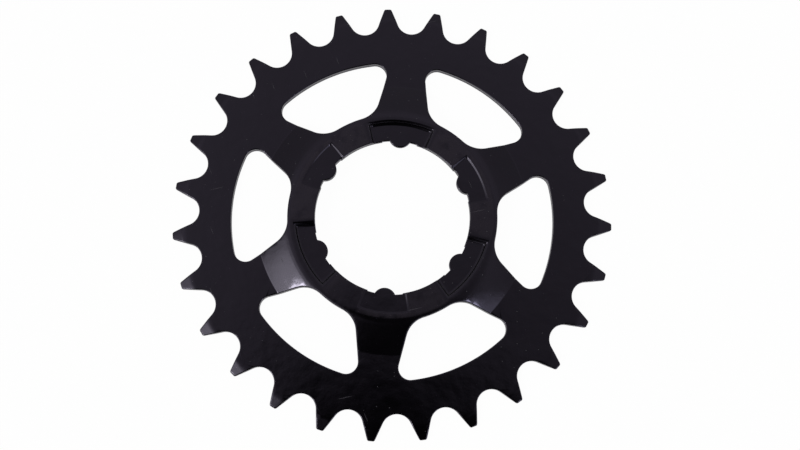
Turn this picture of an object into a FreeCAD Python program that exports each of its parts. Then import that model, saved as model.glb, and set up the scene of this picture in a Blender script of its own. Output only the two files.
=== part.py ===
import FreeCAD, Part
import math
import os
import Sketcher
from FreeCAD import Vector

# Bicycle sprocket: toothed rim, tapered spokes and a dished hub ring with a lobed bore, one steel sheet.
# Frame: +Z is the axle, z = 0 is the rim's back face, the hub stands up towards +Z,
# and +Y passes through a bore lobe that is in line with a tooth gap. Lengths in mm, angles in degrees.
SIZES = {
    # Teeth, for a half-inch pitch chain
    "tooth_count": 27,
    "chain_pitch": 12.7,
    "seat_radius": 3.95,            # round bottom of a tooth gap, struck from the pitch circle
    "flank_angle": 26.5,            # each side of a gap, from the gap's mid-line
    "tip_height": 3.1,              # tooth tip above the pitch circle
    "tip_corner_radius": 0.8,
    "tip_corner_share": 0.9,        # part of the corner radius that lies below the tip circle
    "tooth_bevel_angle": 13.0,      # both faces of the teeth slant in towards the tip
    "bevel_round_radius": 7.0,      # rounds a rim face into the bevels
    "tip_thinning": 0.72,           # taken off each face at the tip
    # Dished sheet
    "sheet_thickness": 2.1,
    "dish_depth": 3.35,             # hub ring above the rim
    "hub_flat_width": 5.8,          # flat of the hub ring, from the bore out to the bend
    "hub_bend_radius": 8.7,         # outside of the bend at the hub
    "slope_run": 9.85,              # radial length of the two bends and the slope
    "rim_bend_radius": 0.8,         # inside of the bend at the rim
    # Windows and spokes
    "spoke_count": 6,
    "rim_width": 8.4,               # from a window to the bottom of the tooth gaps
    "hub_ring_width": 7.15,         # from the bore to a window
    "spoke_hub_width": 14.15,
    "spoke_rim_width": 9.05,
    "window_hub_corner": 6.5,
    "window_rim_corner": 3.1,
    # Bore that slides on the hub's driver
    "bore_diameter": 40.4,
    "lobe_pairs": 3,                # each pair is one lobe in a wide recess and one in a narrow recess
    "lobe_height": 1.5,
    "lobe_radius": 3.0,
    "relief_depth": 0.22,           # shallow relief in the bore beside each lobe
    "relief_half_angle": 13.0,
    # Recesses pressed into the hub's front face over the lobes
    "recess_width": 5.1,            # from the bore outwards
    "wide_recess_half_angle": 20.0,
    "wide_recess_depth": 1.2,
    "wide_recess_draft": 10.0,      # walls lean out from upright
    "narrow_recess_half_angle": 15.5,
    "narrow_recess_depth": 0.25,
    "narrow_recess_draft": 60.0,
}

# Places that several features share, as expressions over the sheet's cells
PITCH_RADIUS = "(Sizes.chain_pitch / (2 * sin(180 / Sizes.tooth_count)))"
TIP_RADIUS = f"({PITCH_RADIUS} + Sizes.tip_height)"
TIP_THICKNESS = "(Sizes.sheet_thickness - 2 * Sizes.tip_thinning)"
BORE_RADIUS = "(Sizes.bore_diameter / 2)"
HUB_FLAT_RADIUS = f"({BORE_RADIUS} + Sizes.hub_flat_width)"
RIM_FLAT_RADIUS = f"({HUB_FLAT_RADIUS} + Sizes.slope_run)"
WINDOW_HUB_RADIUS = f"({BORE_RADIUS} + Sizes.hub_ring_width)"
WINDOW_RIM_RADIUS = f"({PITCH_RADIUS} - Sizes.seat_radius - Sizes.rim_width)"
RECESS_RADIUS = f"({BORE_RADIUS} + Sizes.recess_width)"
RELIEF_RADIUS = f"({BORE_RADIUS} + Sizes.relief_depth)"
LOBE_DISTANCE = f"({BORE_RADIUS} - Sizes.lobe_height + Sizes.lobe_radius)"
HUB_TOP = "(Sizes.dish_depth + Sizes.sheet_thickness)"
LOBE_COUNT = "(2 * Sizes.lobe_pairs)"
WIDE_LOBE_ANGLE = "90"
NARROW_LOBE_ANGLE = "(90 - 180 / Sizes.lobe_pairs)"

# Largest share of a window's radial height that a corner round may take
HUB_CORNER_SHARE = 0.45
RIM_CORNER_SHARE = 0.25

# Point positions and axes of a sketch
START, END, CENTRE = range(1, 4)
ORIGIN, Y_AXIS = range(-1, -3, -1)
FULL_TURN_ANGLE = 360

doc = FreeCAD.newDocument("sprocket")
sheet = doc.addObject("Spreadsheet::Sheet", "Sizes")
for row, (name, number) in enumerate(SIZES.items(), start=1):
    sheet.set(f"A{row}", name)
    sheet.set(f"B{row}", str(number))
    sheet.setAlias(f"B{row}", name)
doc.recompute()

body = doc.addObject("PartDesign::Body", "Sprocket")
body.Label = "sprocket"
origin = {feature.Role: feature for feature in body.Origin.OriginFeatures}


def value(expression):
    """Number that an expression over the sheet gives now, in mm or degrees."""
    return float(sheet.evalExpression(expression))


def polar(radius, degrees):
    angle = math.radians(degrees)
    return Vector(radius * math.cos(angle), radius * math.sin(angle), 0)


def add_sketch(name, plane="XY_Plane", height=None):
    """Empty sketch on one of the body's planes, raised along its normal by an expression."""
    sketch = body.newObject("Sketcher::SketchObject", name)
    sketch.AttachmentSupport = (origin[plane], [""])
    sketch.MapMode = "FlatFace"
    if height:
        sketch.setExpression("AttachmentOffset.Base.z", height)
    return sketch


def line(sketch, start, end):
    return sketch.addGeometry(Part.LineSegment(start, end), False)


def circle(sketch, centre, radius):
    return sketch.addGeometry(Part.Circle(centre, Vector(0, 0, 1), radius), False)


def arc(sketch, centre, radius, first, last):
    """Counter-clockwise arc between two angles in degrees."""
    full = Part.Circle(centre, Vector(0, 0, 1), radius)
    return sketch.addGeometry(Part.ArcOfCircle(full, math.radians(first), math.radians(last)), False)


def constrain(sketch, kind, *references):
    sketch.addConstraint(Sketcher.Constraint(kind, *references))


def dimension(sketch, kind, *references, size):
    """Dimension bound to an expression over the sheet."""
    number = value(size)
    if kind == "Angle":
        number = math.radians(number)
    index = sketch.addConstraint(Sketcher.Constraint(kind, *references, number))
    sketch.setExpression(f"Constraints[{index}]", size)


def extrude(kind, name, sketch, length=None, reverse=False, draft=None):
    """Pad or pocket of a sketch, through everything where no length is given."""
    before = body.Shape.Volume
    feature = body.newObject(f"PartDesign::{kind}", name)
    feature.Profile = sketch
    feature.Reversed = reverse
    if length:
        feature.setExpression("Length", length)
    else:
        feature.Type = "ThroughAll"
    if draft:
        feature.setExpression("TaperAngle", draft)
    doc.recompute()
    gained = feature.Shape.Volume - before
    if gained == 0 or (gained > 0) != (kind == "Pad"):
        raise RuntimeError(f"{name} changed the volume by {gained:.3f} mm3")
    return feature


def repeat_round_axle(name, feature, count):
    pattern = body.newObject("PartDesign::PolarPattern", name)
    pattern.Originals = [feature]
    pattern.Axis = (origin["Z_Axis"], [""])
    pattern.Angle = FULL_TURN_ANGLE
    pattern.setExpression("Occurrences", count)
    body.Tip = pattern
    doc.recompute()
    return pattern


def sheet_section():
    """Half section of the dished sheet, from the axle to the thinned tooth tips, in the XZ plane."""
    sketch = add_sketch("Section", "XZ_Plane")
    thick = value("Sizes.sheet_thickness")
    low = value("Sizes.dish_depth")
    top = value(HUB_TOP)
    hub_bend = value("Sizes.hub_bend_radius")
    rim_bend = value("Sizes.rim_bend_radius")
    bevel = value("Sizes.tooth_bevel_angle")
    bevel_round = value("Sizes.bevel_round_radius")
    tip = value(TIP_RADIUS)
    tip_drop = value("Sizes.tip_thinning")
    half_bevel = math.radians(bevel) / 2
    bevel_start = tip - tip_drop / math.tan(2 * half_bevel) - bevel_round * math.tan(half_bevel)
    front_centre = Vector(bevel_start, thick - bevel_round, 0)
    back_centre = Vector(bevel_start, bevel_round, 0)
    front_tip = Vector(tip, thick - tip_drop, 0)
    back_tip = Vector(tip, tip_drop, 0)
    hub_centre = Vector(value(HUB_FLAT_RADIUS), top - hub_bend, 0)
    rim_centre = Vector(value(RIM_FLAT_RADIUS), thick + rim_bend, 0)
    # The slope touches both bends, which lie on opposite sides of it
    between = rim_centre - hub_centre
    tilt = math.asin((hub_bend + rim_bend) / between.Length)
    slope = math.degrees(tilt - math.atan2(between.y, between.x))

    def on_hub_bend(radius):
        return hub_centre + polar(radius, 90 - slope)

    def on_rim_bend(radius):
        return rim_centre + polar(radius, 270 - slope)

    axle = line(sketch, Vector(0, low, 0), Vector(0, top, 0))
    hub_front = line(sketch, Vector(0, top, 0), Vector(hub_centre.x, top, 0))
    hub_front_bend = arc(sketch, hub_centre, hub_bend, 90 - slope, 90)
    slope_front = line(sketch, on_hub_bend(hub_bend), on_rim_bend(rim_bend))
    rim_front_bend = arc(sketch, rim_centre, rim_bend, 270 - slope, 270)
    rim_front = line(sketch, Vector(rim_centre.x, thick, 0), Vector(bevel_start, thick, 0))
    front_round = arc(sketch, front_centre, bevel_round, 90 - bevel, 90)
    front_bevel = line(sketch, front_centre + polar(bevel_round, 90 - bevel), front_tip)
    tip_land = line(sketch, front_tip, back_tip)
    back_bevel = line(sketch, back_tip, back_centre + polar(bevel_round, 270 + bevel))
    back_round = arc(sketch, back_centre, bevel_round, 270, 270 + bevel)
    rim_back = line(sketch, Vector(bevel_start, 0, 0), Vector(rim_centre.x, 0, 0))
    rim_back_bend = arc(sketch, rim_centre, rim_bend + thick, 270 - slope, 270)
    slope_back = line(sketch, on_rim_bend(rim_bend + thick), on_hub_bend(hub_bend - thick))
    hub_back_bend = arc(sketch, hub_centre, hub_bend - thick, 90 - slope, 90)
    hub_back = line(sketch, Vector(hub_centre.x, low, 0), Vector(0, low, 0))

    constrain(sketch, "Coincident", axle, END, hub_front, START)
    constrain(sketch, "Tangent", hub_front, END, hub_front_bend, END)
    constrain(sketch, "Tangent", hub_front_bend, START, slope_front, START)
    constrain(sketch, "Tangent", slope_front, END, rim_front_bend, START)
    constrain(sketch, "Tangent", rim_front_bend, END, rim_front, START)
    constrain(sketch, "Tangent", rim_front, END, front_round, END)
    constrain(sketch, "Tangent", front_round, START, front_bevel, START)
    constrain(sketch, "Coincident", front_bevel, END, tip_land, START)
    constrain(sketch, "Coincident", tip_land, END, back_bevel, START)
    constrain(sketch, "Tangent", back_bevel, END, back_round, END)
    constrain(sketch, "Tangent", back_round, START, rim_back, START)
    constrain(sketch, "Tangent", rim_back, END, rim_back_bend, END)
    constrain(sketch, "Tangent", rim_back_bend, START, slope_back, START)
    constrain(sketch, "Tangent", slope_back, END, hub_back_bend, START)
    constrain(sketch, "Tangent", hub_back_bend, END, hub_back, START)
    constrain(sketch, "Coincident", hub_back, END, axle, START)
    for flat in (hub_front, rim_front, rim_back, hub_back):
        constrain(sketch, "Horizontal", flat)
    constrain(sketch, "Vertical", tip_land)
    constrain(sketch, "PointOnObject", axle, START, Y_AXIS)
    constrain(sketch, "PointOnObject", axle, END, Y_AXIS)
    constrain(sketch, "Coincident", hub_front_bend, CENTRE, hub_back_bend, CENTRE)
    constrain(sketch, "Coincident", rim_front_bend, CENTRE, rim_back_bend, CENTRE)
    constrain(sketch, "Equal", front_round, back_round)
    constrain(sketch, "Equal", front_bevel, back_bevel)
    constrain(sketch, "Vertical", front_round, CENTRE, back_round, CENTRE)
    dimension(sketch, "DistanceY", ORIGIN, START, axle, START, size="Sizes.dish_depth")
    dimension(sketch, "DistanceY", axle, START, axle, END, size="Sizes.sheet_thickness")
    dimension(sketch, "DistanceY", ORIGIN, START, rim_front, START, size="Sizes.sheet_thickness")
    constrain(sketch, "PointOnObject", rim_back, START, ORIGIN)
    dimension(sketch, "DistanceX", ORIGIN, START, hub_front, END, size=HUB_FLAT_RADIUS)
    dimension(sketch, "DistanceX", ORIGIN, START, rim_front, START, size=RIM_FLAT_RADIUS)
    dimension(sketch, "Radius", hub_front_bend, size="Sizes.hub_bend_radius")
    dimension(sketch, "Radius", rim_front_bend, size="Sizes.rim_bend_radius")
    dimension(sketch, "DistanceX", ORIGIN, START, tip_land, START, size=TIP_RADIUS)
    dimension(sketch, "DistanceY", tip_land, END, tip_land, START, size=TIP_THICKNESS)
    dimension(sketch, "Radius", front_round, size="Sizes.bevel_round_radius")
    dimension(sketch, "Angle", front_bevel, size="-Sizes.tooth_bevel_angle")
    return sketch


def tooth_gap_outline():
    """Gap between two teeth, on +Y: a round roller seat, straight flanks and rounded tooth corners."""
    sketch = add_sketch("GapOutline")
    pitch_radius = value(PITCH_RADIUS)
    seat = value("Sizes.seat_radius")
    flank = value("Sizes.flank_angle")
    corner = value("Sizes.tip_corner_radius")
    corner_reach = f"{TIP_RADIUS} - Sizes.tip_corner_share * Sizes.tip_corner_radius"
    outside = f"{TIP_RADIUS} + Sizes.tip_corner_radius"
    middle = Vector(0, pitch_radius, 0)
    foot = middle + polar(seat, -flank)
    # The corner's centre lies on a line beside the flank, at its own distance from the axle
    beside = foot + polar(corner, -flank)
    along = polar(1, 90 - flank)
    ahead = beside.dot(along)
    travel = -ahead + math.sqrt(ahead ** 2 - beside.dot(beside) + value(corner_reach) ** 2)
    centre = beside + along * travel
    shoulder = foot + along * travel
    crown = centre + Vector(0, corner, 0)
    end = Vector(crown.x, value(outside), 0)

    def mirrored(point):
        return Vector(-point.x, point.y, 0)

    bottom = arc(sketch, middle, seat, 180 + flank, 360 - flank)
    right_flank = line(sketch, foot, shoulder)
    right_corner = arc(sketch, centre, corner, 90, 180 - flank)
    right_end = line(sketch, crown, end)
    outer_end = line(sketch, end, mirrored(end))
    left_end = line(sketch, mirrored(end), mirrored(crown))
    left_corner = arc(sketch, mirrored(centre), corner, flank, 90)
    left_flank = line(sketch, mirrored(shoulder), mirrored(foot))

    constrain(sketch, "Tangent", bottom, END, right_flank, START)
    constrain(sketch, "Tangent", right_flank, END, right_corner, END)
    constrain(sketch, "Coincident", right_corner, START, right_end, START)
    constrain(sketch, "Coincident", right_end, END, outer_end, START)
    constrain(sketch, "Coincident", outer_end, END, left_end, START)
    constrain(sketch, "Coincident", left_end, END, left_corner, END)
    constrain(sketch, "Tangent", left_corner, START, left_flank, START)
    constrain(sketch, "Tangent", left_flank, END, bottom, START)
    constrain(sketch, "PointOnObject", bottom, CENTRE, Y_AXIS)
    constrain(sketch, "Symmetric", right_corner, CENTRE, left_corner, CENTRE, Y_AXIS)
    constrain(sketch, "Symmetric", outer_end, START, outer_end, END, Y_AXIS)
    constrain(sketch, "Equal", right_corner, left_corner)
    constrain(sketch, "Vertical", right_corner, CENTRE, right_corner, START)
    constrain(sketch, "Vertical", left_corner, CENTRE, left_corner, END)
    constrain(sketch, "Vertical", right_end)
    dimension(sketch, "DistanceY", ORIGIN, START, bottom, CENTRE, size=PITCH_RADIUS)
    dimension(sketch, "Radius", bottom, size="Sizes.seat_radius")
    dimension(sketch, "Angle", right_flank, size="90 - Sizes.flank_angle")
    dimension(sketch, "Radius", right_corner, size="Sizes.tip_corner_radius")
    dimension(sketch, "Distance", ORIGIN, START, right_corner, CENTRE, size=corner_reach)
    dimension(sketch, "DistanceY", ORIGIN, START, outer_end, START, size=outside)
    return sketch


def window_outline():
    """Window between two spokes, on +X: arcs round the axle, sides along the spokes and round corners."""
    sketch = add_sketch("WindowOutline")
    height = f"({WINDOW_RIM_RADIUS} - {WINDOW_HUB_RADIUS})"
    taper = f"atan((Sizes.spoke_hub_width - Sizes.spoke_rim_width) / 2 / {height})"
    side_angle = f"180 deg / Sizes.spoke_count + {taper}"
    side_offset = f"Sizes.spoke_hub_width / 2 * cos({taper}) + {WINDOW_HUB_RADIUS} * sin({taper})"
    hub_corner_size = f"min(Sizes.window_hub_corner; {HUB_CORNER_SHARE} * {height})"
    rim_corner_size = f"min(Sizes.window_rim_corner; {RIM_CORNER_SHARE} * {height})"
    hub_radius = value(WINDOW_HUB_RADIUS)
    rim_radius = value(WINDOW_RIM_RADIUS)
    hub_corner = value(hub_corner_size)
    rim_corner = value(rim_corner_size)
    direction = value(side_angle)
    offset = value(side_offset)

    def corner_centre(radius, corner):
        """Point at a radius from the axle, inside the window by the corner's radius from its upper side."""
        across = -(offset + corner)
        along = math.sqrt(radius ** 2 - across ** 2)
        return polar(along, direction) + polar(across, direction + 90)

    def mirrored(point):
        return Vector(point.x, -point.y, 0)

    inner = corner_centre(hub_radius + hub_corner, hub_corner)
    outer = corner_centre(rim_radius - rim_corner, rim_corner)
    inner_angle = math.degrees(math.atan2(inner.y, inner.x))
    outer_angle = math.degrees(math.atan2(outer.y, outer.x))
    inner_touch = inner + polar(hub_corner, direction + 90)
    outer_touch = outer + polar(rim_corner, direction + 90)

    rim_edge = arc(sketch, Vector(), rim_radius, -outer_angle, outer_angle)
    top_rim_corner = arc(sketch, outer, rim_corner, outer_angle, direction + 90)
    top_side = line(sketch, outer_touch, inner_touch)
    top_hub_corner = arc(sketch, inner, hub_corner, direction + 90, inner_angle + 180)
    hub_edge = arc(sketch, Vector(), hub_radius, -inner_angle, inner_angle)
    low_hub_corner = arc(sketch, mirrored(inner), hub_corner, 180 - inner_angle, 270 - direction)
    low_side = line(sketch, mirrored(inner_touch), mirrored(outer_touch))
    low_rim_corner = arc(sketch, mirrored(outer), rim_corner, 270 - direction, 360 - outer_angle)

    constrain(sketch, "Tangent", rim_edge, END, top_rim_corner, START)
    constrain(sketch, "Tangent", top_rim_corner, END, top_side, START)
    constrain(sketch, "Tangent", top_side, END, top_hub_corner, START)
    constrain(sketch, "Tangent", top_hub_corner, END, hub_edge, END)
    constrain(sketch, "Tangent", hub_edge, START, low_hub_corner, START)
    constrain(sketch, "Tangent", low_hub_corner, END, low_side, START)
    constrain(sketch, "Tangent", low_side, END, low_rim_corner, START)
    constrain(sketch, "Tangent", low_rim_corner, END, rim_edge, START)
    for edge in (rim_edge, hub_edge):
        constrain(sketch, "Coincident", edge, CENTRE, ORIGIN, START)
    constrain(sketch, "Equal", top_hub_corner, low_hub_corner)
    constrain(sketch, "Equal", top_rim_corner, low_rim_corner)
    dimension(sketch, "Radius", rim_edge, size=WINDOW_RIM_RADIUS)
    dimension(sketch, "Radius", hub_edge, size=WINDOW_HUB_RADIUS)
    dimension(sketch, "Radius", top_hub_corner, size=hub_corner_size)
    dimension(sketch, "Radius", top_rim_corner, size=rim_corner_size)
    dimension(sketch, "Angle", top_side, size=f"{side_angle} - 180 deg")
    dimension(sketch, "Angle", low_side, size=f"-({side_angle})")
    dimension(sketch, "Distance", ORIGIN, START, top_side, size=side_offset)
    dimension(sketch, "Distance", ORIGIN, START, low_side, size=side_offset)
    return sketch


def round_outline(name, distance, radius, height=None):
    """Circle on the +Y axis, at a distance from the axle."""
    sketch = add_sketch(name, height=height)
    ring = circle(sketch, Vector(0, value(distance), 0), value(radius))
    constrain(sketch, "PointOnObject", ring, CENTRE, Y_AXIS)
    dimension(sketch, "DistanceY", ORIGIN, START, ring, CENTRE, size=distance)
    dimension(sketch, "Radius", ring, size=radius)
    return sketch


def sector_outline(name, mid_angle, half_angle, radius, height=None):
    """Slice of a disc from the axle out to a radius, each side of a direction."""
    sketch = add_sketch(name, height=height)
    first = value(f"{mid_angle} - {half_angle}")
    last = value(f"{mid_angle} + {half_angle}")
    reach = value(radius)
    first_side = line(sketch, Vector(), polar(reach, first))
    edge = arc(sketch, Vector(), reach, first, last)
    last_side = line(sketch, polar(reach, last), Vector())
    constrain(sketch, "Coincident", first_side, START, ORIGIN, START)
    constrain(sketch, "Coincident", first_side, END, edge, START)
    constrain(sketch, "Coincident", edge, END, last_side, START)
    constrain(sketch, "Coincident", last_side, END, ORIGIN, START)
    constrain(sketch, "Coincident", edge, CENTRE, ORIGIN, START)
    dimension(sketch, "Radius", edge, size=radius)
    dimension(sketch, "Angle", first_side, size=f"{mid_angle} - {half_angle}")
    dimension(sketch, "Angle", last_side, size=f"{mid_angle} + {half_angle} - 180")
    return sketch


def recess(name, mid_angle, kind):
    """Recess of a kind pressed into the hub's front face round one lobe, with drafted walls."""
    half_angle = f"Sizes.{kind}_recess_half_angle"
    outline = sector_outline(f"{name}Outline", mid_angle, half_angle, RECESS_RADIUS, height=HUB_TOP)
    depth = f"Sizes.{kind}_recess_depth"
    return extrude("Pocket", name, outline, length=depth, draft=f"-Sizes.{kind}_recess_draft")


# Dished blank, turned about the axle
blank = body.newObject("PartDesign::Revolution", "DishedSheet")
blank.Profile = sheet_section()
blank.ReferenceAxis = (blank.Profile[0], ["V_Axis"])
blank.Angle = FULL_TURN_ANGLE
doc.recompute()

# Teeth and windows, punched through the blank
tooth_gap = extrude("Pocket", "ToothGap", tooth_gap_outline(), reverse=True)
repeat_round_axle("ToothGaps", tooth_gap, "Sizes.tooth_count")
window = extrude("Pocket", "Window", window_outline(), reverse=True)
repeat_round_axle("Windows", window, "Sizes.spoke_count")

# Bore with its reliefs and lobes
extrude("Pocket", "Bore", round_outline("BoreOutline", "0", BORE_RADIUS), reverse=True)
relief_outline = sector_outline("ReliefOutline", WIDE_LOBE_ANGLE, "Sizes.relief_half_angle", RELIEF_RADIUS)
relief = extrude("Pocket", "Relief", relief_outline, reverse=True)
repeat_round_axle("Reliefs", relief, LOBE_COUNT)
lobe_outline = round_outline("LobeOutline", LOBE_DISTANCE, "Sizes.lobe_radius", height="Sizes.dish_depth")
lobe = extrude("Pad", "Lobe", lobe_outline, length="Sizes.sheet_thickness")
repeat_round_axle("Lobes", lobe, LOBE_COUNT)

# Recesses over the lobes, wide and narrow in turn
wide = recess("WideRecess", WIDE_LOBE_ANGLE, "wide")
repeat_round_axle("WideRecesses", wide, "Sizes.lobe_pairs")
narrow = recess("NarrowRecess", NARROW_LOBE_ANGLE, "narrow")
repeat_round_axle("NarrowRecesses", narrow, "Sizes.lobe_pairs")

for item in doc.Objects:
    if "Invalid" in item.State or "Error" in item.State:
        raise RuntimeError(f"{item.Name} failed: {item.State}")
if body.Shape.isNull() or not body.Shape.isValid():
    raise RuntimeError(f"{body.Label} has no valid shape")
os.makedirs("parts", exist_ok=True)
body.Shape.exportStep(f"parts/{body.Label}.step")
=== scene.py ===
import math

import bpy
import numpy as np
from mathutils import Matrix, Vector
from mathutils.geometry import delaunay_2d_cdt


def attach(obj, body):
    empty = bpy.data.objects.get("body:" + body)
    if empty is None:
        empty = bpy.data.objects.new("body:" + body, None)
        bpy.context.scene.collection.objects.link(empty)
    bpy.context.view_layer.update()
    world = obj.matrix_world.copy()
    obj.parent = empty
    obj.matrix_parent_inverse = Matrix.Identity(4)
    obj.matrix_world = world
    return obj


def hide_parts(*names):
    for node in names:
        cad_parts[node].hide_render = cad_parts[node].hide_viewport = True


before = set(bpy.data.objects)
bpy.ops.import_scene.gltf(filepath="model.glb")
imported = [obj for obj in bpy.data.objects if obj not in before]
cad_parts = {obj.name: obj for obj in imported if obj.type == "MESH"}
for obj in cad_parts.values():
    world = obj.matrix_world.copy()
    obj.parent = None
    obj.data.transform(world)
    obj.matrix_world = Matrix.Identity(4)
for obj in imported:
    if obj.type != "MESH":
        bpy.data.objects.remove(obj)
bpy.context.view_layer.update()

# Bicycle sprocket in black coated steel. The dressed sheet has the CAD solid's sizes and place,
# with the rolled edges that a punch leaves. Plan points are complex numbers, x + y j, about the axle.
# Lengths are in metres, and angles in degrees where math.radians doesn't make them.
MM = 0.001

# Teeth
TOOTH_COUNT = 27
CHAIN_PITCH = 12.7 * MM
SEAT_RADIUS = 3.95 * MM
FLANK_ANGLE = 26.5
TIP_HEIGHT = 3.1 * MM
TIP_CORNER = 0.8 * MM
TIP_CORNER_SHARE = 0.9
BEVEL_ANGLE = math.radians(13)
BEVEL_ROUND = 7.0 * MM
TIP_THINNING = 0.72 * MM
PITCH_RADIUS = CHAIN_PITCH / (2 * math.sin(math.pi / TOOTH_COUNT))
TIP_RADIUS = PITCH_RADIUS + TIP_HEIGHT
BEVEL_START = TIP_RADIUS - TIP_THINNING / math.tan(BEVEL_ANGLE) - BEVEL_ROUND * math.tan(BEVEL_ANGLE / 2)
BEVEL_ROUND_END = BEVEL_START + BEVEL_ROUND * math.sin(BEVEL_ANGLE)
FIRST_GAP_ANGLE = 90

# Dished sheet: a hub bend, a slope that is very slightly crowned, and a rim bend
THICKNESS = 2.1 * MM
DISH_DEPTH = 3.35 * MM
BORE_RADIUS = 20.2 * MM
HUB_FLAT_RADIUS = BORE_RADIUS + 5.8 * MM
RIM_FLAT_RADIUS = HUB_FLAT_RADIUS + 9.85 * MM
HUB_TOP = DISH_DEPTH + THICKNESS
HUB_BEND = 8.7 * MM
SLOPE_CROWN = 85 * MM
RIM_BEND = 0.8 * MM

# Centres of the three arcs, as radius + height j, and the slopes where they meet
HUB_CENTRE = complex(HUB_FLAT_RADIUS, HUB_TOP - HUB_BEND)
RIM_CENTRE = complex(RIM_FLAT_RADIUS, THICKNESS + RIM_BEND)
BENDS_APART = RIM_CENTRE - HUB_CENTRE
HUB_TO_CROWN = SLOPE_CROWN - HUB_BEND
CROWN_COSINE = ((abs(BENDS_APART) ** 2 + HUB_TO_CROWN ** 2 - (SLOPE_CROWN + RIM_BEND) ** 2)
                / (2 * abs(BENDS_APART) * HUB_TO_CROWN))
CROWN_CENTRE = HUB_CENTRE + HUB_TO_CROWN * np.exp(1j * (np.angle(BENDS_APART) - math.acos(CROWN_COSINE)))
HUB_SLOPE = math.pi / 2 - np.angle(HUB_CENTRE - CROWN_CENTRE)
RIM_SLOPE = math.pi / 2 - np.angle(RIM_CENTRE - CROWN_CENTRE)

# Windows and spokes
SPOKE_COUNT = 6
WINDOW_HUB_RADIUS = BORE_RADIUS + 7.15 * MM
WINDOW_RIM_RADIUS = PITCH_RADIUS - SEAT_RADIUS - 8.4 * MM
SPOKE_HUB_WIDTH = 14.15 * MM
SPOKE_RIM_WIDTH = 9.05 * MM
WINDOW_HUB_CORNER = 6.5 * MM
WINDOW_RIM_CORNER = 3.1 * MM

# Bore with its lobes, and the recesses over them
LOBE_COUNT = 6
LOBE_HEIGHT = 1.5 * MM
LOBE_RADIUS = 3.0 * MM
LOBE_DISTANCE = BORE_RADIUS - LOBE_HEIGHT + LOBE_RADIUS
FIRST_LOBE_ANGLE = 90
RELIEF_RADIUS = BORE_RADIUS + 0.22 * MM
RELIEF_HALF_ANGLE = 13
RECESS_RADIUS = BORE_RADIUS + 5.1 * MM
RECESS_KINDS = (                                    # half angle, depth, draft, rounding of the brink and foot
    (20, 1.2 * MM, 10, 0.23 * MM),
    (15.5, 0.25 * MM, 55, 0.05 * MM),
)

# Edges: a punch rolls the front ones over, and the back ones are only broken
FRONT_ROLL = (0.30 * MM, 0.20 * MM)                 # in from the edge, and off the face
BACK_BREAK = (0.12 * MM, 0.10 * MM)

# Fineness of the mesh
MAX_ARC_STEP = 8
CHORD_ERROR = 0.004 * MM
CIRCLE_POINTS = 180
EDGE_RING_COUNT = 5
BEND_LINE_COUNT = 5
BRINK_LINE_COUNT = 8
BRINK_SPAN = (-2.5, 1)                              # where a brink's lines lie, in roundings inwards
MERGE_DISTANCE = 0.004 * MM
BLOCK = 400                                         # points that are worked on at a time

# Coat. A grain is a noise: feature size, octaves, and the values between which it grows from none to full
COAT_COLOURS = ((0.0004, 0.0003, 0.0005, 1), (0.0026, 0.0022, 0.0030, 1))
COAT_ROUGHNESS = (0.09, 0.14)
COAT_IOR = 1.5
COAT_TINT = (0.85, 0.75, 1.0, 1)
BLOTCHES = (9 * MM, 5)
BLOTCH_RANGE = (0.3, 0.7)
PEEL = (1.3 * MM, 2)
PEEL_HEIGHT = 0.011 * MM
WAVES = (4.5 * MM, 1)
WAVE_HEIGHT = 0.045 * MM

# Lands of the hub ring, duller than the rest, with painted shade on one of them, where the dark overhead is
# reflected
LAND_COLOUR = (0.008, 0.0065, 0.008, 1)
LAND_ROUGHNESS = 0.22
LAND_HEIGHTS = (HUB_TOP - 0.03 * MM, HUB_TOP - 0.005 * MM)
LAND_GRAIN = (3 * MM, 3, 0.25, 0.5)
PAINTED_SHADE_RADIUS = BORE_RADIUS + 4.2 * MM
PAINTED_SHADE_ANGLE = 248
PAINTED_SHADE_REACH = (7 * MM, 3 * MM)                     # no painted shade from here outwards, and all of it from here in
PAINTED_SHADE_GRAIN = (1.8 * MM, 3, 0.2, 0.55)

# Punched walls, torn in the half that the punch reaches last
WALL_NORMALS = (0.5, 0.25)                          # upright part of the normal, before a wall and on it
WALL_ROUGHNESS = 0.34
TORN_DEPTHS = (0.35, 0.5)
TORN_ROUGHNESS = 0.55
STREAK_WIDTH = 0.2 * MM
STREAK_OCTAVES = 2
STREAK_HEIGHT = 0.01 * MM

# Wear. Marks are strewn in cells: angle, cell length and width, reach in cells, share of cells with a mark
DUST = (0, 3.4 * MM, 3.4 * MM, 0.045, 0.4)
DUST_GRAIN = (25 * MM, 1, 0.42, 0.6)
DUST_COLOUR = (0.12, 0.115, 0.12, 1)
DUST_STRENGTH = 0.4
LONG_SCRATCHES = (18, 22 * MM, 0.9 * MM, 0.11, 0.03)
SHORT_SCRATCHES = (118, 15 * MM, 0.8 * MM, 0.10, 0.025)
SCRATCH_COLOUR = (0.09, 0.085, 0.09, 1)
SCRATCH_STRENGTH = 0.35
MARK_ROUGHNESS = 0.6
MARK_CORE = 1 / 3                                   # part of a mark's reach where it is full
# Paler front edges, patchy with a noise: partly coat worn through, partly a painted highlight along the edges
RUB_HIGHLIGHT_NEARNESS = (0.6, 1)
RUB_HIGHLIGHT_GRAIN = (2.2 * MM, 4, 0.5, 0.68)
RUB_HIGHLIGHT_COLOUR = (0.03, 0.029, 0.032, 1)
RUB_HIGHLIGHT_STRENGTH = 0.5

# View: the photographed sprocket is turned about its axle from the frame's +Y
VIEW_TURN = math.radians(5.4)
VIEW_PITCH = math.radians(9.554)
VIEW_YAW = math.radians(-0.671)
CAMERA_PLACE = (-1.46 * MM, -51.48 * MM, 297.62 * MM)
CAMERA_NEAR = 10 * MM
FOCAL_LENGTH = 51.39                                # in mm, as the camera takes it

# Room: its light low down and overhead, and the upward parts of a direction between which it grows
ROOM_COLOUR = (0.97, 0.96, 1, 1)
ROOM_LIGHT = (0.345, 0.515)
ROOM_HEIGHTS = (0.5, 0.95)

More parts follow.
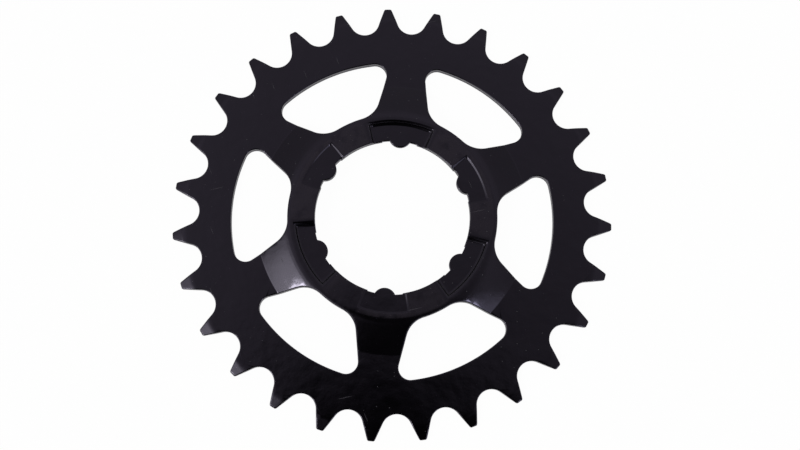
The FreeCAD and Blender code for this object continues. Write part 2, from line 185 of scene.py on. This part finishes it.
# Dark places overhead, on a direction's x and y: centre, reach, turn, shares of the reach where each fades
SHADES = (
    ((-0.007, -0.15), (0.127, 0.2), 0, (0.74, 1.45)),
    ((0.211, -1.6), (0.554, 1.537), 6.2, (0.756, 1.4)),
)
SHADE_HEIGHT = 1000                                 # reach upwards, so long that a height makes no difference

# Soft discs of light: zenith angle, azimuth from the photo's right, angles of full and of no light, radiance
PALE_WALLS = (
    (30, -165, 0, 36, 0.24),
    (46, 90, 10, 38, 0.05),
)
WARM = (1, 1.06, 0.97, 1)
COOL = (0.90, 0.96, 1.06, 1)
SOFTBOXES = (                                       # the same, and the colour
    (47, -150, 5, 23, 1.68, WARM),
    (39.5, -158, 0, 24, 1.4, WARM),
    (42.5, -150, 1.5, 6, 24, WARM),
    (68, -176, 4, 13, 1.8, WARM),
    (58, -48, 13, 22.5, 1.05, COOL),
    (43, -44, 1, 5, 9, COOL),
)

# Floor, which turns up into a low wall that is open towards the front
FLOOR_RADIUS = 2.0
FLOOR_SIDES = 96
FLOOR_GAP = 0.05 * MM                               # below the sprocket
FLOOR_COLOUR = (0.95, 0.95, 0.95, 1)
FLOOR_GLOW = 0.975                                  # share of the floor's white that shadows leave
COVE_RADIUS = 0.5
COVE_RING_COUNT = 10
FRONT_ANGLE = 270
FRONT_HALF_ANGLE = 60


def turned(points, degrees):
    """Plan points turned about the axle."""
    return points * np.exp(1j * math.radians(degrees))


def arc(centre, radius, first, last):
    """Points of an arc between two angles, both ends among them."""
    step = min(MAX_ARC_STEP, math.degrees(2 * math.acos(1 - CHORD_ERROR / radius)))
    count = math.ceil(abs(last - first) / step) + 1
    return centre + radius * np.exp(1j * np.radians(np.linspace(first, last, max(count, 2))))


def angle_of(point):
    return math.degrees(np.angle(point))


def repeated(unit, count, first_angle):
    """Closed loop of a unit repeated about the axle."""
    return np.concatenate([turned(unit, first_angle + 360 * k / count) for k in range(count)])


def tooth_loop():
    """Outer edge, counter-clockwise: roller seats, straight flanks, rounded corners and tip lands."""
    inward = FLANK_ANGLE + 90
    foot = PITCH_RADIUS + SEAT_RADIUS * np.exp(1j * math.radians(inward))
    along = np.exp(1j * math.radians(FLANK_ANGLE))
    beside = foot + TIP_CORNER * 1j * along
    reach = TIP_RADIUS - TIP_CORNER_SHARE * TIP_CORNER
    ahead = (beside * along.conjugate()).real
    centre = beside + along * (math.sqrt(ahead ** 2 - abs(beside) ** 2 + reach ** 2) - ahead)
    opening = (TIP_RADIUS ** 2 - reach ** 2 - TIP_CORNER ** 2) / (2 * reach * TIP_CORNER)
    corner_end = angle_of(centre) - math.degrees(math.acos(opening))
    half = np.concatenate([
        arc(PITCH_RADIUS, SEAT_RADIUS, 180, inward),
        arc(centre, TIP_CORNER, FLANK_ANGLE - 90, corner_end),
    ])
    gap = np.concatenate([half[::-1].conj(), half[1:]])
    land_start = angle_of(gap[-1])
    land = arc(0, TIP_RADIUS, land_start, 360 / TOOTH_COUNT - land_start)
    return repeated(np.concatenate([gap, land[1:-1]]), TOOTH_COUNT, FIRST_GAP_ANGLE)


def window_loop(number):
    """Edge of one window, clockwise: arcs about the axle, sides along the spokes and round corners."""
    taper = math.atan2((SPOKE_HUB_WIDTH - SPOKE_RIM_WIDTH) / 2, WINDOW_RIM_RADIUS - WINDOW_HUB_RADIUS)
    direction = 180 / SPOKE_COUNT + math.degrees(taper)
    offset = SPOKE_HUB_WIDTH / 2 * math.cos(taper) + WINDOW_HUB_RADIUS * math.sin(taper)

    def corner_centre(radius, corner):
        across = offset + corner
        return turned(complex(math.sqrt(radius ** 2 - across ** 2), -across), direction)

    inner = corner_centre(WINDOW_HUB_RADIUS + WINDOW_HUB_CORNER, WINDOW_HUB_CORNER)
    outer = corner_centre(WINDOW_RIM_RADIUS - WINDOW_RIM_CORNER, WINDOW_RIM_CORNER)
    half = np.concatenate([
        arc(0, WINDOW_RIM_RADIUS, 0, angle_of(outer)),
        arc(outer, WINDOW_RIM_CORNER, angle_of(outer), direction + 90)[1:],
        arc(inner, WINDOW_HUB_CORNER, direction + 90, angle_of(inner) + 180),
        arc(0, WINDOW_HUB_RADIUS, angle_of(inner), 0)[1:],
    ])
    whole = np.concatenate([half, half[-2:0:-1].conj()])
    return turned(whole[::-1], 360 * number / SPOKE_COUNT)


def bore_loop():
    """Edge of the bore, clockwise: round lobes with a shallow relief on each side."""
    squares = RELIEF_RADIUS ** 2 + LOBE_DISTANCE ** 2 - LOBE_RADIUS ** 2
    meeting = RELIEF_RADIUS * np.exp(1j * math.acos(squares / (2 * RELIEF_RADIUS * LOBE_DISTANCE)))
    half = np.concatenate([
        arc(LOBE_DISTANCE, LOBE_RADIUS, 180, angle_of(meeting - LOBE_DISTANCE)),
        arc(0, RELIEF_RADIUS, angle_of(meeting), RELIEF_HALF_ANGLE)[1:],
        arc(0, BORE_RADIUS, RELIEF_HALF_ANGLE, 180 / LOBE_COUNT),
    ])
    unit = np.concatenate([half[::-1].conj(), half[1:-1]])
    return repeated(unit, LOBE_COUNT, FIRST_LOBE_ANGLE)[::-1]


def inset(loop, distance):
    """Closed loop moved to its left, which is into the steel."""
    ahead = np.roll(loop, -1) - loop
    ahead = ahead / abs(ahead)
    behind = np.roll(ahead, 1)
    return loop + distance * 1j * (ahead + behind) / (1 + (ahead * behind.conj()).real)


def recess_shape(number):
    """Direction, half angle, depth, wall width and rounding of the recess over one lobe."""
    half_angle, depth, draft, rounding = RECESS_KINDS[number % len(RECESS_KINDS)]
    direction = FIRST_LOBE_ANGLE + 360 * number / LOBE_COUNT
    return direction, half_angle, depth, depth * math.tan(math.radians(draft)), rounding


def recess_lines():
    """Open lines along the wall of each recess, from its rounded brink to its floor."""
    for number in range(LOBE_COUNT):
        direction, half_angle, depth, run, rounding = recess_shape(number)
        brink = rounding * np.linspace(*BRINK_SPAN, BRINK_LINE_COUNT)
        for inside in sorted({*brink, *(run - brink)}):
            radius = RECESS_RADIUS - inside
            corner = turned(complex(math.sqrt(radius ** 2 - inside ** 2), -inside), half_angle)
            start = turned(complex(BORE_RADIUS - LOBE_HEIGHT, -inside), half_angle)
            edge = arc(0, radius, angle_of(corner), -angle_of(corner))
            yield turned(np.concatenate([[start], edge, [start.conjugate()]]), direction)


def soft_positive(length, rounding):
    """The length where it is positive and nothing where it isn't, with a rounded change between them."""
    return (length + np.sqrt(length ** 2 + rounding ** 2)) / 2


def recess_depth(points):
    """Depth of the recesses below the hub's front face."""
    depths = np.zeros(len(points))
    for number in range(LOBE_COUNT):
        direction, half_angle, depth, run, rounding = recess_shape(number)
        local = turned(points, -direction)
        aside = abs(local) * np.sin(np.radians(half_angle) - abs(np.angle(local)))
        inside = np.minimum(RECESS_RADIUS - abs(local), aside)
        fall = soft_positive(inside, rounding) - soft_positive(inside - run, rounding)
        here = abs(np.angle(local)) < math.pi / LOBE_COUNT
        depths += np.where(here, depth * fall / run, 0)
    return depths


def sheet_height(radius, below):
    """Height of the face that lies below the sheet's front face by a part of its thickness."""
    hub_bend = HUB_BEND - below
    crown = SLOPE_CROWN - below
    rim_bend = RIM_BEND + below
    hub_end = HUB_FLAT_RADIUS + hub_bend * math.sin(HUB_SLOPE)
    rim_start = RIM_FLAT_RADIUS - rim_bend * math.sin(RIM_SLOPE)
    hub_run = np.clip(radius - HUB_FLAT_RADIUS, 0, hub_bend)
    rim_run = np.clip(RIM_FLAT_RADIUS - radius, 0, rim_bend)
    hub = HUB_CENTRE.imag + np.sqrt(hub_bend ** 2 - hub_run ** 2)
    slope = CROWN_CENTRE.imag + np.sqrt(crown ** 2 - (radius - CROWN_CENTRE.real) ** 2)
    rim = RIM_CENTRE.imag - np.sqrt(rim_bend ** 2 - rim_run ** 2)
    return np.select([radius < hub_end, radius < rim_start], [hub, slope], rim)


def tooth_thinning(radius):
    """What the tooth bevels take off each face."""
    round_run = np.clip(radius, BEVEL_START, BEVEL_ROUND_END) - BEVEL_START
    straight_run = np.clip(radius - BEVEL_ROUND_END, 0, None)
    return BEVEL_ROUND - np.sqrt(BEVEL_ROUND ** 2 - round_run ** 2) + straight_run * math.tan(BEVEL_ANGLE)


def edge_drop(distance, roll):
    """Drop of a rolled edge, a quarter of an ellipse, at a distance in from the edge."""
    width, height = roll
    share = 1 - np.clip(distance / width, 0, 1)
    return height * (1 - np.sqrt(1 - share ** 2))


def bend_circles():
    """Radii of the circles about the axle where the sheet bends or the teeth start to thin."""
    shares = np.linspace(0, 1, BEND_LINE_COUNT)
    for below in (0, THICKNESS):
        for share in shares:
            yield HUB_FLAT_RADIUS + (HUB_BEND - below) * math.sin(HUB_SLOPE * share)
            yield RIM_FLAT_RADIUS - (RIM_BEND + below) * math.sin(RIM_SLOPE * share)
            slope = HUB_SLOPE + (RIM_SLOPE - HUB_SLOPE) * share
            yield CROWN_CENTRE.real + (SLOPE_CROWN - below) * math.sin(slope)
    yield from BEVEL_START + BEVEL_ROUND * np.sin(BEVEL_ANGLE * shares)


def is_inside(points, loop):
    """Whether each point lies inside a loop: an odd number of its edges passes to the right."""
    start, end = loop, np.roll(loop, -1)
    found = []
    for block in np.array_split(points, len(points) // BLOCK + 1):
        x, y = block.real[:, None], block.imag[:, None]
        crosses = (start.imag > y) != (end.imag > y)
        share = (y - start.imag) / np.where(crosses, end.imag - start.imag, 1)
        passes = crosses & (start.real + share * (end.real - start.real) > x)
        found.append(passes.sum(axis=1) % 2 == 1)
    return np.concatenate(found)


def distance_to(points, loop):
    """Distance from each point to the nearest edge of a loop."""
    along = np.roll(loop, -1) - loop
    found = []
    for block in np.array_split(points, len(points) // BLOCK + 1):
        offset = block[:, None] - loop
        share = np.clip((offset * along.conj()).real / abs(along) ** 2, 0, 1)
        found.append(abs(offset - share * along).min(axis=1))
    return np.concatenate(found)


def plan_mesh(outside, holes):
    """Plan points and triangles of the sheet, with lines along every edge, bend and recess wall."""
    points, edges = [], []

    def add_line(line, closed):
        first = len(points)
        count = len(line)
        points.extend(Vector((p.real / MM, p.imag / MM)) for p in line)
        edges.extend((first + i, first + (i + 1) % count) for i in range(count if closed else count - 1))

    roll_width = FRONT_ROLL[0]
    for turn in np.linspace(0, math.pi / 2, EDGE_RING_COUNT):
        for loop in (outside, *holes):
            add_line(inset(loop, roll_width * (1 - math.cos(turn))), closed=True)
    ring = np.exp(2j * math.pi * np.arange(CIRCLE_POINTS) / CIRCLE_POINTS)
    for radius in sorted(set(bend_circles())):
        add_line(radius * ring, closed=True)
    for line in recess_lines():
        add_line(line, closed=False)
    places, _, triangles, *_ = delaunay_2d_cdt(points, edges, [], 0, MERGE_DISTANCE / MM)
    plan = np.array([complex(p.x, p.y) for p in places]) * MM
    triangles = np.array(triangles)
    middles = plan[triangles].mean(axis=1)
    kept = is_inside(middles, outside)
    for hole in holes:
        kept &= ~is_inside(middles, hole)
    triangles = triangles[kept]
    sides = plan[triangles]
    span = (sides[:, 1] - sides[:, 0]).conj() * (sides[:, 2] - sides[:, 0])
    triangles[span.imag < 0] = triangles[span.imag < 0][:, ::-1]
    used, numbers = np.unique(triangles, return_inverse=True)
    return plan[used], numbers.reshape(-1, 3)


def rim_edges(triangles):
    """Edges that only one triangle has, in that triangle's direction."""
    directed = np.concatenate([triangles[:, [0, 1]], triangles[:, [1, 2]], triangles[:, [2, 0]]])
    known = {tuple(edge) for edge in directed.tolist()}
    return np.array([edge for edge in known if edge[::-1] not in known])


def add_object(name, data):
    made = bpy.data.objects.new(name, data)
    bpy.context.scene.collection.objects.link(made)
    return made


def build_sheet():
    """The sprocket's steel: front and back faces over one plan, joined by the punched walls."""
    outside = tooth_loop()
    holes = [bore_loop()] + [window_loop(k) for k in range(SPOKE_COUNT)]
    plan, triangles = plan_mesh(outside, holes)
    edge = np.min([distance_to(plan, loop) for loop in (outside, *holes)], axis=0)
    radius = abs(plan)
    thinning = tooth_thinning(radius)
    front = sheet_height(radius, 0) - recess_depth(plan) - thinning - edge_drop(edge, FRONT_ROLL)
    back = sheet_height(radius, THICKNESS) + thinning + edge_drop(edge, BACK_BREAK)
    count = len(plan)
    corners = np.column_stack([np.tile(plan.real, 2), np.tile(plan.imag, 2), np.concatenate([front, back])])
    start, end = rim_edges(triangles).T
    walls = np.column_stack([start, start + count, end + count, end])
    faces = triangles.tolist() + (triangles[:, ::-1] + count).tolist() + walls.tolist()
    mesh = bpy.data.meshes.new("sprocket_sheet")
    mesh.from_pydata(corners.tolist(), [], faces)
    mesh.shade_smooth()
    depth = mesh.attributes.new("sheet_depth", "FLOAT", "POINT")
    depth.data.foreach_set("value", np.repeat([0.0, 1.0], count))
    nearness = mesh.attributes.new("edge_nearness", "FLOAT", "POINT")
    nearness.data.foreach_set("value", np.tile(1 - np.clip(edge / FRONT_ROLL[0], 0, 1), 2))
    made = add_object("sprocket_sheet", mesh)
    normals = made.modifiers.new("face_weighted_normals", "WEIGHTED_NORMAL")
    normals.mode = "FACE_AREA"
    return made


def add_node(tree, kind, inputs=None, **settings):
    """Node whose inputs are set to a value or linked to another node's output."""
    made = tree.nodes.new(kind)
    for name, setting in settings.items():
        setattr(made, name, setting)
    for name, source in (inputs or {}).items():
        if isinstance(source, bpy.types.NodeSocket):
            tree.links.new(source, made.inputs[name])
        else:
            made.inputs[name].default_value = source
    return made


def maths(tree, operation, *numbers):
    return add_node(tree, "ShaderNodeMath", dict(enumerate(numbers)), operation=operation).outputs[0]


def ramp(tree, source, low, high, start=0, end=1):
    """Smooth step from start to end as a value goes from low to high."""
    bounds = {"Value": source, "From Min": low, "From Max": high, "To Min": start, "To Max": end}
    return add_node(tree, "ShaderNodeMapRange", bounds, interpolation_type="SMOOTHSTEP").outputs[0]


def blend(tree, factor, first, second):
    """Mix of two numbers."""
    return add_node(tree, "ShaderNodeMix", {0: factor, 2: first, 3: second}).outputs[0]


def tint(tree, factor, first, second):
    """Mix of two colours."""
    return add_node(tree, "ShaderNodeMix", {0: factor, 6: first, 7: second}, data_type="RGBA").outputs[2]


def noise(tree, place, size, octaves):
    """Noise about 0.5 with features of a given size."""
    inputs = {"Vector": place, "Scale": 1 / size, "Detail": octaves}
    return add_node(tree, "ShaderNodeTexNoise", inputs).outputs[0]


def grain(tree, place, size, octaves, low, high):
    """Patches from none to full as a noise goes from low to high."""
    return ramp(tree, noise(tree, place, size, octaves), low, high)


def cells_of(tree, place, angle, length, width):
    """Plan coordinates turned by an angle and counted in cells of a length and a width."""
    inputs = {"Vector": place, "Rotation": (0, 0, math.radians(angle)), "Scale": (length, width, 1)}
    return add_node(tree, "ShaderNodeMapping", inputs, vector_type="TEXTURE").outputs[0]


def marks(tree, place, angle, length, width, reach, share):
    """Marks in a share of the cells, each as wide as a reach about the cell's own random point."""
    cells = cells_of(tree, place, angle, length, width)
    found = add_node(tree, "ShaderNodeTexVoronoi", {"Vector": cells, "Scale": 1}, voronoi_dimensions="2D")
    lot = add_node(tree, "ShaderNodeSeparateColor", {0: found.outputs["Color"]}).outputs[0]
    chosen = maths(tree, "LESS_THAN", lot, share)
    return maths(tree, "MULTIPLY", ramp(tree, found.outputs["Distance"], reach, reach * MARK_CORE), chosen)


def new_material(name):
    material = bpy.data.materials.new(name)
    material.use_nodes = True
    material.node_tree.nodes.clear()
    return material, material.node_tree


def hub_lands(tree, place):
    """Where the hub's highest faces show their dull coat, which painted shade takes off in part."""
    height = add_node(tree, "ShaderNodeSeparateXYZ", {0: place}).outputs["Z"]
    land = maths(tree, "MULTIPLY", ramp(tree, height, *LAND_HEIGHTS), grain(tree, place, *LAND_GRAIN))
    # Painted shade: the lands' lighter colour is taken off in a patch of one land, so that it reads as a dark
    # reflection
    painted_shade_centre = turned(PAINTED_SHADE_RADIUS, PAINTED_SHADE_ANGLE)
    away = add_node(tree, "ShaderNodeVectorMath", {0: place, 1: (painted_shade_centre.real, painted_shade_centre.imag, HUB_TOP)},
                    operation="DISTANCE").outputs["Value"]
    painted_shade = maths(tree, "MULTIPLY", ramp(tree, away, *PAINTED_SHADE_REACH), grain(tree, place, *PAINTED_SHADE_GRAIN))
    return maths(tree, "MULTIPLY", land, maths(tree, "SUBTRACT", 1, painted_shade))


def coat_relief(tree, place, on_wall):
    """Height of the coat: slight orange peel and waves, and upright streaks on the punched walls."""
    peel = maths(tree, "MULTIPLY", noise(tree, place, *PEEL), PEEL_HEIGHT)
    waves = maths(tree, "MULTIPLY", noise(tree, place, *WAVES), WAVE_HEIGHT)
    streaks = noise(tree, cells_of(tree, place, 0, STREAK_WIDTH, STREAK_WIDTH), 1, STREAK_OCTAVES)
    streaks = maths(tree, "MULTIPLY", maths(tree, "MULTIPLY", streaks, on_wall), STREAK_HEIGHT)
    return maths(tree, "ADD", maths(tree, "ADD", peel, waves), streaks)


def black_coat():
    """Glossy black coat on steel, with dull hub lands and painted shade on one of them, dust, fine scratches,
    edges paled partly by wear and partly by a painted highlight, and torn walls.
    """
    material, tree = new_material("black_coat")
    coordinates = add_node(tree, "ShaderNodeTexCoord")
    place = coordinates.outputs["Object"]
    upright = add_node(tree, "ShaderNodeSeparateXYZ", {0: coordinates.outputs["Normal"]}).outputs["Z"]
    on_wall = ramp(tree, maths(tree, "ABSOLUTE", upright), *WALL_NORMALS)
    depth = add_node(tree, "ShaderNodeAttribute", attribute_name="sheet_depth").outputs["Fac"]
    nearness = add_node(tree, "ShaderNodeAttribute", attribute_name="edge_nearness").outputs["Fac"]

    blotches = noise(tree, place, *BLOTCHES)
    # Lands with their dull coat, less the painted shade on one of them
    land = hub_lands(tree, place)
    torn = maths(tree, "MULTIPLY", on_wall, ramp(tree, depth, *TORN_DEPTHS))
    dust = maths(tree, "MULTIPLY", marks(tree, place, *DUST), grain(tree, place, *DUST_GRAIN))
    long_scratches = marks(tree, place, *LONG_SCRATCHES)
    short_scratches = marks(tree, place, *SHORT_SCRATCHES)
    scratches = maths(tree, "MAXIMUM", long_scratches, short_scratches)
    # Painted edge highlight, partly also wear of the coat, near the front edges
    worn_and_highlit_edges = maths(tree, "MULTIPLY", ramp(tree, nearness, *RUB_HIGHLIGHT_NEARNESS), grain(tree, place, *RUB_HIGHLIGHT_GRAIN))

    colour = tint(tree, blotches, *COAT_COLOURS)
    colour = tint(tree, land, colour, LAND_COLOUR)
    # The edges' painted highlight, partly wear, paled into the colour
    colour = tint(tree, maths(tree, "MULTIPLY", worn_and_highlit_edges, RUB_HIGHLIGHT_STRENGTH), colour, RUB_HIGHLIGHT_COLOUR)
    colour = tint(tree, maths(tree, "MULTIPLY", scratches, SCRATCH_STRENGTH), colour, SCRATCH_COLOUR)
    colour = tint(tree, maths(tree, "MULTIPLY", dust, DUST_STRENGTH), colour, DUST_COLOUR)
    roughness = ramp(tree, blotches, *BLOTCH_RANGE, *COAT_ROUGHNESS)
    roughness = blend(tree, land, roughness, LAND_ROUGHNESS)
    roughness = blend(tree, on_wall, roughness, WALL_ROUGHNESS)
    roughness = blend(tree, torn, roughness, TORN_ROUGHNESS)
    roughness = blend(tree, maths(tree, "MAXIMUM", dust, scratches), roughness, MARK_ROUGHNESS)

    relief = coat_relief(tree, place, on_wall)
    bump = add_node(tree, "ShaderNodeBump", {"Height": relief, "Distance": 1, "Strength": 1})
    shader = add_node(tree, "ShaderNodeBsdfPrincipled", {
        "Base Color": colour,
        "Roughness": roughness,
        "IOR": COAT_IOR,
        "Specular Tint": COAT_TINT,
        "Normal": bump.outputs["Normal"],
    })
    add_node(tree, "ShaderNodeOutputMaterial", {"Surface": shader.outputs["BSDF"]})
    return material


def studio(place):
    """Point or direction of the studio, with the photo's right and up as x and y, in the frame."""
    return Matrix.Rotation(VIEW_TURN, 4, "Z") @ Vector(place)


def towards(zenith, azimuth):
    tilt, turn = math.radians(zenith), math.radians(azimuth)
    return studio((math.sin(tilt) * math.cos(turn), math.sin(tilt) * math.sin(turn), math.cos(tilt)))


def add_camera():
    data = bpy.data.cameras.new("camera")
    data.lens = FOCAL_LENGTH
    data.clip_start = CAMERA_NEAR
    camera = add_object("camera", data)
    turn = Matrix.Rotation(VIEW_TURN, 4, "Z")
    tilt = Matrix.Rotation(VIEW_YAW, 4, "Y") @ Matrix.Rotation(VIEW_PITCH, 4, "X")
    camera.matrix_world = Matrix.Translation(studio(CAMERA_PLACE)) @ turn @ tilt
    bpy.context.scene.camera = camera


def white_floor():
    """White to the eye and in reflections, with a part left to diffuse light so that shadows show."""
    material, tree = new_material("white_floor")
    paths = add_node(tree, "ShaderNodeLightPath").outputs
    seen = maths(tree, "MAXIMUM", paths["Is Camera Ray"], paths["Is Glossy Ray"])
    seen = maths(tree, "MAXIMUM", seen, paths["Is Transmission Ray"])
    diffuse = add_node(tree, "ShaderNodeBsdfDiffuse", {"Color": FLOOR_COLOUR})
    glow = add_node(tree, "ShaderNodeEmission", {"Color": (1, 1, 1, 1), "Strength": 1})
    share = maths(tree, "MULTIPLY", seen, FLOOR_GLOW)
    mix = add_node(tree, "ShaderNodeMixShader", {0: share, 1: diffuse.outputs[0], 2: glow.outputs[0]})
    add_node(tree, "ShaderNodeOutputMaterial", {"Surface": mix.outputs[0]})
    return material


def add_floor():
    """White floor that turns up into a low wall at the back and sides."""
    rings = []
    for rise in np.linspace(0, math.pi / 2, COVE_RING_COUNT):
        height = COVE_RADIUS * (1 - math.cos(rise)) - FLOOR_GAP
        rings.append((FLOOR_RADIUS + COVE_RADIUS * math.sin(rise), height))
    turns = [2 * math.pi * k / FLOOR_SIDES for k in range(FLOOR_SIDES)]
    corners = [(r * math.cos(t), r * math.sin(t), z) for r, z in rings for t in turns]
    faces = [tuple(range(FLOOR_SIDES))]
    for first in range(0, len(corners) - FLOOR_SIDES, FLOOR_SIDES):
        for k in range(FLOOR_SIDES):
            n = (k + 1) % FLOOR_SIDES
            if abs(math.degrees(turns[k]) - FRONT_ANGLE) > FRONT_HALF_ANGLE:
                faces.append((first + k, first + k + FLOOR_SIDES, first + n + FLOOR_SIDES, first + n))
    mesh = bpy.data.meshes.new("floor")
    mesh.from_pydata(corners, [], faces)
    mesh.shade_smooth()
    mesh.materials.append(white_floor())
    add_object("floor", mesh)


def soft_disc(tree, direction, zenith, azimuth, full, none, radiance):
    """Radiance of a disc in the sky with a soft edge."""
    facing = add_node(tree, "ShaderNodeVectorMath", {0: direction, 1: towards(zenith, azimuth)},
                      operation="DOT_PRODUCT").outputs["Value"]
    return ramp(tree, facing, math.cos(math.radians(none)), math.cos(math.radians(full)), 0, radiance)


def add_world():
    """Pale room with soft lights on the left and right, and dark places overhead."""
    world = bpy.data.worlds.new("studio")
    world.use_nodes = True
    bpy.context.scene.world = world
    tree = world.node_tree
    tree.nodes.clear()
    direction = add_node(tree, "ShaderNodeTexCoord").outputs["Generated"]
    height = add_node(tree, "ShaderNodeSeparateXYZ", {0: direction}).outputs["Z"]
    room = ramp(tree, height, *ROOM_HEIGHTS, *ROOM_LIGHT)
    for wall in PALE_WALLS:
        room = maths(tree, "ADD", room, soft_disc(tree, direction, *wall))
    for centre, reach, turn, fade in SHADES:
        shade = add_node(tree, "ShaderNodeMapping", {
            "Vector": direction,
            "Location": studio((*centre, 0)),
            "Rotation": (0, 0, VIEW_TURN + math.radians(turn)),
            "Scale": (*reach, SHADE_HEIGHT),
        }, vector_type="TEXTURE").outputs[0]
        away = add_node(tree, "ShaderNodeVectorMath", {0: shade}, operation="LENGTH").outputs["Value"]
        room = maths(tree, "MULTIPLY", room, ramp(tree, away, *fade))
    light = add_node(tree, "ShaderNodeBackground", {"Color": ROOM_COLOUR, "Strength": room})
    for *disc, colour in SOFTBOXES:
        glow = soft_disc(tree, direction, *disc)
        softbox = add_node(tree, "ShaderNodeBackground", {"Color": colour, "Strength": glow})
        light = add_node(tree, "ShaderNodeAddShader", {0: light.outputs[0], 1: softbox.outputs[0]})
    add_node(tree, "ShaderNodeOutputWorld", {"Surface": light.outputs[0]})


sheet = build_sheet()
sheet.data.materials.append(black_coat())
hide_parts("sprocket")
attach(sheet, "root")

add_camera()
add_floor()
add_world()
bpy.context.scene.view_settings.view_transform = "Standard"
